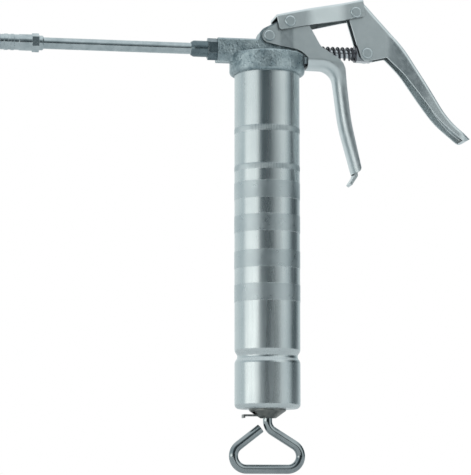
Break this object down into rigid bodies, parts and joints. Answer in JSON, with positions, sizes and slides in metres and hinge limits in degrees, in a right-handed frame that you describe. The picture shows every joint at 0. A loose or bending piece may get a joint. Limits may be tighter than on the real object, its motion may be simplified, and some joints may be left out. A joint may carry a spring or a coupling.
{
  "type": "lever grease gun",
  "caption": "One-hand lever grease gun: knurled steel barrel, cast pump head, pressed grip and lever, rigid outlet pipe with a jaw coupler and a rod with a loop handle.",
  "frame": {"origin": "on the barrel's centre line, half-way between the two middle knurled bands", "axes": "+Z along the barrel up to the pump head, +X towards the squeeze lever, -X along the outlet pipe; the lever moves in the XZ plane"},
  "size_m": [0.4205, 0.066, 0.4178],
  "materials": {
    "cast_metal": "rough cast, silver coated",
    "pressed_steel": "satin zinc plated sheet",
    "rivet_steel": "satin",
    "barrel_steel": "bright drawn tube",
    "bright_plate": "bright zinc plated",
    "adapter_steel": "dull plated",
    "ground_steel": "ground and polished",
    "spring_steel": "dark oiled spring steel",
    "black_rubber": "matt",
    "zinc_plate": "zinc plated"
  },
  "bodies": {
    "head": {"pump_head": "cast_metal", "fixed_grip": "pressed_steel", "gland_nut": "adapter_steel", "plunger_packing": "black_rubber", "return_spring": "spring_steel", "check_spring": "spring_steel", "outlet_adapter": "adapter_steel", "delivery_pipe": "bright_plate", "coupler_body": "bright_plate", "coupler_nose": "bright_plate", "coupler_spring": "spring_steel", "barrel_gasket": "black_rubber", "grip_rivet": "rivet_steel", "link_rivet": "rivet_steel"},
    "link": {"top_link": "pressed_steel"},
    "lever": {"squeeze_lever": "pressed_steel", "lever_rivet": "rivet_steel", "plunger_pin": "rivet_steel"},
    "plunger": {"pump_plunger": "ground_steel", "spring_washer": "spring_steel"},
    "check_valve": {"check_ball": "ground_steel"},
    "jaws": {"coupler_jaws": "bright_plate", "coupler_seal": "black_rubber", "seal_carrier": "ground_steel"},
    "barrel": {"barrel_tube": "barrel_steel", "rod_guide": "pressed_steel", "follower_spring": "spring_steel", "latch_spring": "spring_steel"},
    "follower": {"follower_cup": "black_rubber", "follower_top_plate": "zinc_plate", "follower_under_plate": "zinc_plate"},
    "rod": {"follower_rod": "ground_steel", "follower_nut": "ground_steel", "rod_collar": "ground_steel"},
    "latch": {"rod_latch": "pressed_steel"}
  },
  "joints": [
    {"name": "link_rock", "type": "hinge", "parent": "head", "child": "link", "pos_m": [0.018, 0, 0.1945], "axis": [0, 1, 0], "range_deg": [0, 0.3377]},
    {"name": "lever_squeeze", "type": "hinge", "parent": "link", "child": "lever", "pos_m": [0.0785, 0, 0.206], "axis": [0, 1, 0], "range_deg": [0, 34]},
    {"name": "plunger_stroke", "type": "slide", "parent": "head", "child": "plunger", "axis": [-1, 0, 0], "range_m": [0, 0.02229], "stiffness_N_per_m": 2500, "springref_m": -0.006, "deforming": ["return_spring"]},
    {"name": "check_lift", "type": "slide", "parent": "head", "child": "check_valve", "axis": [-1, 0, 0], "range_m": [0, 0.0012], "stiffness_N_per_m": 400, "springref_m": -0.002, "deforming": ["check_spring"]},
    {"name": "jaw_push", "type": "slide", "parent": "head", "child": "jaws", "axis": [1, 0, 0], "range_m": [0, 0.002], "stiffness_N_per_m": 3000, "springref_m": -0.002, "deforming": ["coupler_spring"]},
    {"name": "barrel_unscrew", "type": "slide", "parent": "head", "child": "barrel", "axis": [0, 0, -1], "range_m": [0, 0.04]},
    {"name": "follower_slide", "type": "slide", "parent": "barrel", "child": "follower", "axis": [0, 0, -1], "range_m": [0, 0.21], "stiffness_N_per_m": 150, "springref_m": -0.2, "deforming": ["follower_spring"]},
    {"name": "rod_turn", "type": "hinge", "parent": "follower", "child": "rod", "pos_m": [0, 0, 0], "axis": [0, 0, 1], "continuous": true},
    {"name": "latch_tilt", "type": "hinge", "parent": "barrel", "child": "latch", "pos_m": [0.0055, 0, -0.1495], "axis": [0, 1, 0], "range_deg": [0, 4], "stiffness_Nm_per_rad": 0.5, "springref_deg": -5.73, "deforming": ["latch_spring"]}
  ],
  "couplings": [
    {"joint": "link_rock", "follows": "lever_squeeze", "ratio": 0.009736},
    {"joint": "plunger_stroke", "follows": "lever_squeeze", "m_per_rad": 0.037186}
  ]
}
